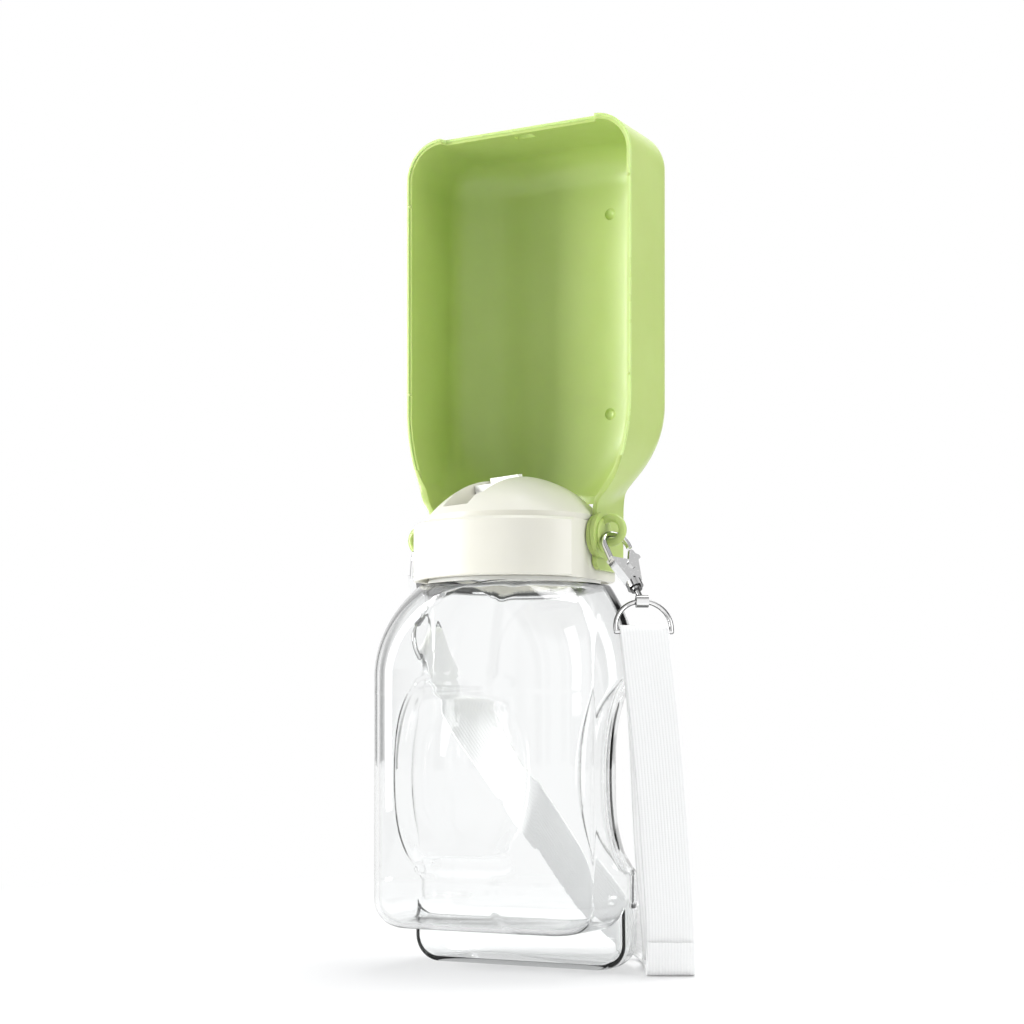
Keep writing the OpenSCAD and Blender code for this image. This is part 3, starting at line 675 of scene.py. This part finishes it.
def tray_x(y, z):
    """The tray's outer side, and its slope carried on below the shoulder."""
    rise = SHOULDER_R + SHOULDER_GAP
    s = np.clip((2 * HINGE_Z - z - SHOULDER_Z) / rise, 0, sind(ARC))
    k = (1 - np.sqrt(1 - s * s)) / (1 - cosd(ARC))
    cx, cy = (HALF_T - SIDE_R[0]) * (1 - k), (BACK_T - SIDE_R[1]) * (1 - k)
    circle = PLATE_R + SHOULDER_GAP
    rx, ry = SIDE_R[0] * (1 - k) + circle * k, SIDE_R[1] * (1 - k) + circle * k
    x = cx + rx * np.sqrt(np.maximum(1 - (np.maximum(y - cy, 0) / ry) ** 2, 0.001))
    low = 2 * HINGE_Z - (SHOULDER_Z + rise * sind(ARC))
    return x - np.maximum(low - z, 0) * 1.05


def arm(side, name):
    """A hinge arm: a flat tab that flares out into the tray's shoulder, bored for the pin."""
    corner = ARM_LOW + ARM_CORNER * (1 - np.cos(np.linspace(0, math.pi / 2, 7)))
    outer, inner = [], []
    for z in np.concatenate([corner, np.linspace(ARM_LOW + 5, ARM_TOP, 40)]):
        below = max(ARM_LOW + ARM_CORNER - z, 0)
        round_off = ARM_CORNER - math.sqrt(max(ARM_CORNER ** 2 - below ** 2, 0))
        front = ARM_FRONT + round_off + 3.2 * float(smoothstep(z, 196, 208))
        back = ARM_BACK - round_off + 2.0 * float(smoothstep(z, 193, 212))
        y = np.linspace(front, back, 25)
        past = tray_x(y, z) - ARM_OUT
        # the larger of the tab's face and the tray's side, rounded where the two meet
        x = ARM_OUT + 0.5 * (past + np.sqrt(past ** 2 + 6.0)) - 0.45 * float(smoothstep(z, 202, 212))
        thick = 2.2 + 0.9 * float(smoothstep(z, 194, 200)) - 1.4 * float(smoothstep(z, 204, 212))
        outer.append(np.column_stack([x, y, np.full(25, z)]))
        inner.append(np.column_stack([x - thick, y, np.full(25, z)]))
    verts, faces = shell(outer, inner)
    obj = made("trough_arm_" + name, verts * [side, 1, 1], faces)
    welded(obj, 0.000002)
    bevelled(obj, 0.4)
    bore, bore_faces = lathe([(PIN_BORE, 30), (PIN_BORE, 50)], axis="X")
    cut(obj, joined("bore", [(bore * [side, 1, 1] + [0, 0, HINGE_Z], bore_faces)]))
    return obj


def hinge_disc(side, name):
    """The round end of an arm, about its pin."""
    verts, faces = lathe(DISC, axis="X")
    obj = made("trough_hinge_" + name, verts * [side, 1, 1] + [0, 0, HINGE_Z], faces)
    welded(obj)
    return obj


def nubs():
    """The small round stops on the rim."""
    verts, faces = lathe(NUB, 24, "Y")
    spots = [(side * (HALF_T - WALL / 2), RIM, z) for side, _ in SIDES[::-1] for z in NUB_Z]
    obj = joined("trough_nubs", [(verts + list(spot), faces) for spot in spots])
    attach(obj, "trough")
    paint(obj, green)


tray()
for side, name in SIDES[::-1]:
    for obj in (arm(side, name), hinge_disc(side, name)):
        shaded(obj.data, 35)
        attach(obj, "trough")
        paint(obj, green)
nubs()

# ---------------------------------------------------------------- the strap
STRAP_W, STRAP_T, SELVEDGE = 20.0, 1.4, 0.5
ACROSS, RISING, LIE = (0.883, 0.469, 0), (0.75, 0.02, 0.66), 0.9
# the webbing's routes, each stop [x, y, z, the way across the webbing]
MAIN = [(75.2, -6.2, 14, ACROSS), (75.1, -6.1, 8, ACROSS), (74.9, -5.6, 2.4, ACROSS), (73, -2, LIE, ACROSS),
        (67, 10, LIE, ACROSS), (60, 24, LIE, ACROSS), (54, 36, LIE + 0.3, ACROSS),
        (49, 43, 4, (0.84, 0.44, 0.22)), (43, 47, 8.4, (0.8, 0.3, 0.48)), (36, 47.5, 12.5, (0.76, 0.14, 0.6)),
        (27, 46, 19, RISING), (10, 42.5, 38, RISING), (-5, 40.5, 56, RISING), (-20, 40, 74, RISING),
        (-33, 40, 91, (0.76, 0.16, 0.63)), (-44, 38, 106, (0.55, 0.55, 0.62))]
FRONT_RUN = [(74.1, -4.4, 2.8, ACROSS), (73.9, -5.2, 30, ACROSS), (70.5, -8.6, 90, ACROSS)]
BACK_RUN = [(64.2, -0.6, 105, ACROSS), (61, 12.5, 55, ACROSS), (57.8, 27.5, 12, ACROSS),
            (55, 34, LIE + STRAP_T + 0.4, ACROSS)]
SEWN, ARCH, LEG, WIRE = 22.0, 11.4, 2.0, 1.0
WRAP = WIRE + 0.25 + STRAP_T / 2
# the right clasp, then the left one
LEAN, HEAD, RING_TURN = (33, 24), (-23.6, 130), ((-20, 0, 34), (-5.7, -36.9, 90))
EYE_X, EYE_Z, EYE_R, EYE_SECTION, HOOK_WIRE, EYE_DROP = 45.6, 183, 5.1, 1.7, 1.25, 34.5
HANG_Z = EYE_Z - EYE_R + EYE_SECTION + HOOK_WIRE + 0.5


def unit(v):
    return np.asarray(v, float) / np.linalg.norm(v)


def turn_z(v, a):
    return np.array([v[0] * cosd(a) - v[1] * sind(a), v[0] * sind(a) + v[1] * cosd(a), v[2]])


def clasp_axis(i):
    return turn_z([sind(LEAN[i]), 0, -cosd(LEAN[i])], HEAD[i])


def bar_dir(i):
    """Along the straight bar of a D-ring."""
    return turn_z([cosd(RING_TURN[i][1]), 0, -sind(RING_TURN[i][1])], RING_TURN[i][2])


def ring_dir(i):
    """From a D-ring's arch to its bar."""
    a, b, c = RING_TURN[i]
    return turn_z([-cosd(a) * sind(b), sind(a), -cosd(a) * cosd(b)], c)


def bar_at(i):
    ring_at = np.array([EYE_X * (1 - 2 * i), 0, HANG_Z]) + EYE_DROP * clasp_axis(i)
    return ring_at + (ARCH + LEG) * ring_dir(i)


def bend(p, i, t):
    """A point on the smooth curve through p, between its stops i and i + 1."""
    a, b, c, d = p[max(i - 1, 0)], p[i], p[i + 1], p[min(i + 2, len(p) - 1)]
    return 0.5 * (2 * b + (c - a) * t + (2 * a - 5 * b + 4 * c - d) * t * t
                  + (3 * b - a - 3 * c + d) * t ** 3)


def smooth(stops, steps=14):
    """The webbing's middle and its way across, along a smooth curve through the stops."""
    mid, wide = [np.array(s[:3], float) for s in stops], [np.array(s[3], float) for s in stops]
    out = [(bend(mid, i, j / steps), bend(wide, i, j / steps))
           for i in range(len(stops) - 1) for j in range(steps)]
    return out + [(mid[-1], wide[-1])]


def wrap(i, down):
    """Half a turn round a D-ring's bar, for webbing that hangs the way down."""
    u = bar_dir(i)
    out = unit(np.cross(down, u))
    return [(bar_at(i) + WRAP * (out * cosd(a) - np.array(down) * sind(a)), u) for a in range(0, 181, 10)]


def looped(up, turn, away):
    """A route up to a D-ring, round its bar and away."""
    first, last = (*turn[0][0], turn[0][1]), (*turn[-1][0], turn[-1][1])
    return smooth(up + [first]) + turn[1:-1] + smooth([last] + away)


def layer(side, d):
    """A stop on one layer of the sewn left end, at d below the bar."""
    down = ring_dir(1)
    out = unit(np.cross(down, bar_dir(1)))
    return (*(bar_at(1) + down * d + side * out * (1.5 if d < 6 else 0.8)), bar_dir(1))


def section(count=16):
    """The webbing's section: flat faces between round selvedges, [across, through]."""
    edge, half, flat = STRAP_W / 2 - SELVEDGE, STRAP_T / 2, STRAP_W - 2 * SELVEDGE
    right = [(edge + SELVEDGE * cosd(a), half * sind(a)) for a in np.linspace(-90, 90, 7)]
    top = [(edge - flat * k / count, half) for k in range(1, count)]
    left = [(-edge - SELVEDGE * cosd(a), half * sind(a)) for a in np.linspace(90, -90, 7)]
    bottom = [(-edge + flat * k / count, -half) for k in range(1, count)]
    return right + top + left + bottom


def ribbon(name, line):
    """Webbing along a line of [middle, way across], and the line in metres."""
    shape = section()
    verts, uvs, along = [], [], 0.0
    for i, (mid, wide) in enumerate(line):
        go = unit(line[min(i + 1, len(line) - 1)][0] - line[max(i - 1, 0)][0])
        u = unit(wide - go * (wide @ go))
        v = np.cross(go, u)
        if i:
            along += np.linalg.norm(mid - line[i - 1][0])
        for x, y in shape:
            verts.append(mid + u * x + v * y)
            uvs.append((x * 0.001, along * 0.001))
    n = len(shape)
    faces = grid_faces(len(line), n, True)
    faces += [list(range(n))[::-1], [(len(line) - 1) * n + k for k in range(n)]]
    obj = made(name, verts, faces, uvs, 60)
    paint(obj, fabric)
    return obj, place([m for m, _ in line])


def strap():
    """The long band, the doubled loop at the right D-ring and the sewn end at the left one."""
    down = unit(np.array(FRONT_RUN[2][:3]) - bar_at(0))
    band, band_path = ribbon("strap_band", smooth(MAIN + [layer(-1, SEWN + d) for d in (9, 4, 0.6)]))
    loop, loop_path = ribbon("strap_loop", looped(FRONT_RUN, wrap(0, down), BACK_RUN))
    tail, _ = ribbon("strap_tail", looped([layer(1, d) for d in (SEWN, SEWN / 2, 5)], wrap(1, ring_dir(1)),
                                          [layer(-1, d) for d in (5, SEWN / 2, SEWN)]))
    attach(band, "bottle")
    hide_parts("strap")
    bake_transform(loop)
    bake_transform(tail)
    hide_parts("strap_end_right")
    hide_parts("strap_end_left")


strap()

# ---------------------------------------------------------------- floor, light and camera
VIEW_TURN = 28               # how far the camera stands round to the front right
VIEW_AZIMUTH = 90 + VIEW_TURN
EYE_AWAY, EYE_HEIGHT = 837.0, 96
PICTURE_PX, FOCAL_PX, SHIFT_PX = 1024, 1967, (-2.4, 228)


def pale_floor():
    """A pale floor that turns to plain white away from the object, also through glass and in chrome."""
    mesh = bpy.data.meshes.new("floor")
    mesh.from_pydata([(-6, -6, 0), (6, -6, 0), (6, 6, 0), (-6, 6, 0)], [], [(0, 1, 2, 3)])
    floor = bpy.data.objects.new("floor", mesh)
    bpy.context.scene.collection.objects.link(floor)
    m = Look("floor", (0.82, 0.82, 0.82), 0.9)
    distance = m.node("ShaderNodeVectorMath", i0=m.node("ShaderNodeTexCoord").outputs["Object"])
    distance.operation = "LENGTH"
    whiter = add_range(m.tree, distance.outputs["Value"], 0.14, 0.55, 0.25, 1.0)
    ray = m.node("ShaderNodeLightPath").outputs
    seen = add_math(m.tree, "ADD", ray["Is Camera Ray"], ray["Is Transmission Ray"])
    seen = m.node("ShaderNodeMath", i0=seen, i1=ray["Is Glossy Ray"])
    seen.use_clamp = True
    glow = m.node("ShaderNodeEmission", Color=(1, 1, 1, 1), Strength=1.0)
    mix = m.node("ShaderNodeMixShader", i0=add_math(m.tree, "MULTIPLY", whiter, seen.outputs[0]),
                 i1=m.shader.outputs[0], i2=glow.outputs[0])
    m.tree.links.new(mix.outputs[0], m.output.inputs["Surface"])
    mesh.materials.append(m.mat)


def studio():
    """A white surround: plain to the eye, with grey panels for glass and darker ones for chrome."""
    world = bpy.data.worlds.new("studio")
    bpy.context.scene.world = world
    world.use_nodes = True
    tree = world.node_tree
    for n in list(tree.nodes):
        tree.nodes.remove(n)
    generated = add_node(tree, "ShaderNodeTexCoord").outputs["Generated"]
    aim = add_node(tree, "ShaderNodeSeparateXYZ", Vector=generated)
    azimuth = add_math(tree, "ARCTAN2", aim.outputs["Y"], aim.outputs["X"])
    fade = add_range(tree, aim.outputs["Z"], 0.75, 0.95, 1.0, 0.0)
    ceiling = add_range(tree, aim.outputs["Z"], 0.45, 0.9, 1.0, 0.45)

    def background(colour, strength):
        return add_node(tree, "ShaderNodeBackground", Color=(*colour, 1), Strength=strength).outputs[0]

    def panels(count, low, high, darkness):
        """White, darkened in as many panels, which stand half way between the main directions."""
        turned = add_math(tree, "SUBTRACT", azimuth, math.radians(VIEW_AZIMUTH + 180 / count))
        wave = add_math(tree, "COSINE", add_math(tree, "MULTIPLY", turned, float(count)))
        dark = add_math(tree, "MULTIPLY", add_range(tree, wave, low, high, 0.0, 1.0), darkness)
        dark = add_math(tree, "SUBTRACT", 1.0, add_math(tree, "MULTIPLY", dark, fade))
        return background((1, 1, 1), add_math(tree, "MULTIPLY", dark, ceiling))

    def mixed(ray_kind, otherwise, there):
        return add_node(tree, "ShaderNodeMixShader", i0=ray[ray_kind], i1=otherwise, i2=there).outputs[0]

    # a ray through glass counts as a glossy one too, so the transmission rays are told apart last
    ray = add_node(tree, "ShaderNodeLightPath").outputs
    lit = mixed("Is Glossy Ray", background((0.96, 0.98, 1), 0.53), panels(4, 0.7, 0.9, 0.92))
    lit = mixed("Is Transmission Ray", lit, panels(8, 0.1, 0.7, 0.65))
    lit = mixed("Is Camera Ray", lit, background((1, 1, 1), 1.0))
    tree.links.new(lit, add_node(tree, "ShaderNodeOutputWorld").inputs["Surface"])


def aimed(obj, at, forward):
    """Sets an object down, looking along forward."""
    obj.location = at
    obj.rotation_mode = "QUATERNION"
    obj.rotation_quaternion = forward.to_track_quat("-Z", "Y")
    bpy.context.scene.collection.objects.link(obj)


def lamp(name, at, towards, size, power, tall=None):
    """An area lamp in metres and watts, square unless tall is given."""
    data = bpy.data.lights.new(name, "AREA")
    data.energy, data.size = power, size
    if tall:
        data.shape, data.size_y = "RECTANGLE", tall
    aimed(bpy.data.objects.new(name, data), at, Vector(towards) - Vector(at))


def camera():
    data = bpy.data.cameras.new("camera")
    data.sensor_width = 36.0
    data.lens = FOCAL_PX / PICTURE_PX * 36
    data.shift_x, data.shift_y = SHIFT_PX[0] / PICTURE_PX, SHIFT_PX[1] / PICTURE_PX
    data.clip_start, data.clip_end = 0.01, 50
    eye = place([EYE_AWAY * sind(VIEW_TURN), -EYE_AWAY * cosd(VIEW_TURN), EYE_HEIGHT])[0]
    cam = bpy.data.objects.new("camera", data)
    aimed(cam, Vector(eye), Vector((-sind(VIEW_TURN), cosd(VIEW_TURN), 0)))
    bpy.context.scene.camera = cam


pale_floor()
studio()
lamp("key", (-0.76, -0.575, 0.36), (0, 0, 0.22), 0.26, 9.5, 0.66)
lamp("fill", (0.9, -0.1, 0.5), (0, 0, 0.2), 0.4, 3.8, 0.8)
lamp("top", (0.1, 0.3, 1.05), (0, 0, 0.15), 0.6, 7.5)
camera()
bpy.context.scene.view_settings.view_transform = "Standard"
